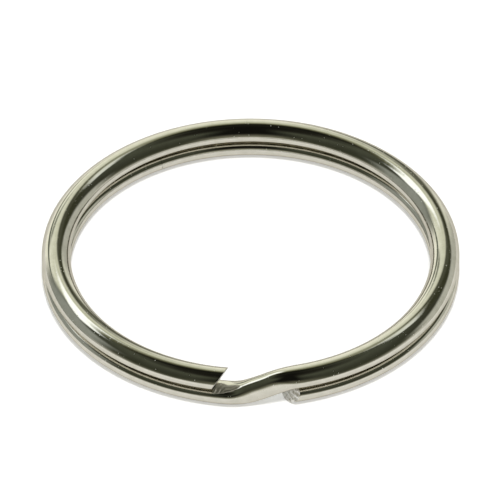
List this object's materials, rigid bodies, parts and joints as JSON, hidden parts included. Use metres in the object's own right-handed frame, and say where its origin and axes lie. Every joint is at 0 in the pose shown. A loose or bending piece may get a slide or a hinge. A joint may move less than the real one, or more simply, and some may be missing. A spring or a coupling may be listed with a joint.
{
  "type": "split key ring",
  "caption": "Round split key ring: a close coil of flattened spring wire whose free ends lift to take a key.",
  "frame": {"origin": "on the ring's axis, at the level of the lower turn's underside", "axes": "+Z along the ring's axis, towards the upper turn; the wire crosses from the lower turn to the upper turn at -Y; +Y points to the back of the ring, where keys hang"},
  "size_m": [0.032, 0.032, 0.003],
  "materials": {
    "nickel_wire": "bright nickel plate over spring steel, polished, with fine drawing pits and light handling marks"
  },
  "bodies": {
    "crossover": {"crossover": "nickel_wire", "upper_turn_1": "nickel_wire", "upper_turn_2": "nickel_wire", "lower_turn_1": "nickel_wire", "lower_turn_2": "nickel_wire"},
    "upper_turn_3": {"upper_turn_3": "nickel_wire"},
    "upper_turn_4": {"upper_turn_4": "nickel_wire"},
    "upper_turn_5": {"upper_turn_5": "nickel_wire"},
    "upper_turn_6": {"upper_turn_6": "nickel_wire"},
    "upper_free_end": {"upper_free_end": "nickel_wire"},
    "lower_turn_3": {"lower_turn_3": "nickel_wire"},
    "lower_turn_4": {"lower_turn_4": "nickel_wire"},
    "lower_turn_5": {"lower_turn_5": "nickel_wire"},
    "lower_turn_6": {"lower_turn_6": "nickel_wire"},
    "lower_free_end": {"lower_free_end": "nickel_wire"}
  },
  "joints": [
    {"name": "upper_end_lift", "type": "hinge", "parent": "crossover", "child": "upper_turn_3", "pos_m": [0.00207, 0.01476, 0.00295], "axis": [-0.984, 0.1779, 0], "range_deg": [0, 2.62], "stiffness_Nm_per_rad": 0.5},
    {"name": "upper_flex_4", "type": "hinge", "parent": "upper_turn_3", "child": "upper_turn_4", "pos_m": [-0.00679, 0.01326, 0.00295], "axis": [-0.9919, -0.1271, 0], "range_deg": [0, 2.48]},
    {"name": "upper_flex_5", "type": "hinge", "parent": "upper_turn_4", "child": "upper_turn_5", "pos_m": [-0.01318, 0.00695, 0.00295], "axis": [-0.9074, -0.4202, 0], "range_deg": [0, 2.09]},
    {"name": "upper_flex_6", "type": "hinge", "parent": "upper_turn_5", "child": "upper_turn_6", "pos_m": [-0.01478, -0.00189, 0.00295], "axis": [-0.7385, -0.6743, 0], "range_deg": [0, 1.52]},
    {"name": "upper_end_flex", "type": "hinge", "parent": "upper_turn_6", "child": "upper_free_end", "pos_m": [-0.011, -0.01005, 0.00295], "axis": [-0.5008, -0.8656, 0], "range_deg": [0, 0.801]},
    {"name": "lower_end_drop", "type": "hinge", "parent": "crossover", "child": "lower_turn_3", "pos_m": [-0.00207, 0.01476, 0], "axis": [0.9903, 0.1392, 0], "range_deg": [0, 2.56], "stiffness_Nm_per_rad": 0.5},
    {"name": "lower_flex_4", "type": "hinge", "parent": "lower_turn_3", "child": "lower_turn_4", "pos_m": [0.007, 0.01316, 0], "axis": [0.9848, -0.1736, 0], "range_deg": [0, 2.44]},
    {"name": "lower_flex_5", "type": "hinge", "parent": "lower_turn_4", "child": "lower_turn_5", "pos_m": [0.01339, 0.00653, 0], "axis": [0.8829, -0.4695, 0], "range_deg": [0, 2.08]},
    {"name": "lower_flex_6", "type": "hinge", "parent": "lower_turn_5", "child": "lower_turn_6", "pos_m": [0.01467, -0.00259, 0], "axis": [0.6947, -0.7193, 0], "range_deg": [0, 1.51]},
    {"name": "lower_end_flex", "type": "hinge", "parent": "lower_turn_6", "child": "lower_free_end", "pos_m": [0.01035, -0.01072, 0], "axis": [0.4384, -0.8988, 0], "range_deg": [0, 0.801]}
  ],
  "couplings": [
    {"joint": "upper_flex_4", "follows": "upper_end_lift", "ratio": 0.9416},
    {"joint": "upper_flex_5", "follows": "upper_end_lift", "ratio": 0.7956},
    {"joint": "upper_flex_6", "follows": "upper_end_lift", "ratio": 0.5754},
    {"joint": "upper_end_flex", "follows": "upper_end_lift", "ratio": 0.3018},
    {"joint": "lower_flex_4", "follows": "lower_end_drop", "ratio": 0.9511},
    {"joint": "lower_flex_5", "follows": "lower_end_drop", "ratio": 0.809},
    {"joint": "lower_flex_6", "follows": "lower_end_drop", "ratio": 0.5878},
    {"joint": "lower_end_flex", "follows": "lower_end_drop", "ratio": 0.309}
  ]
}
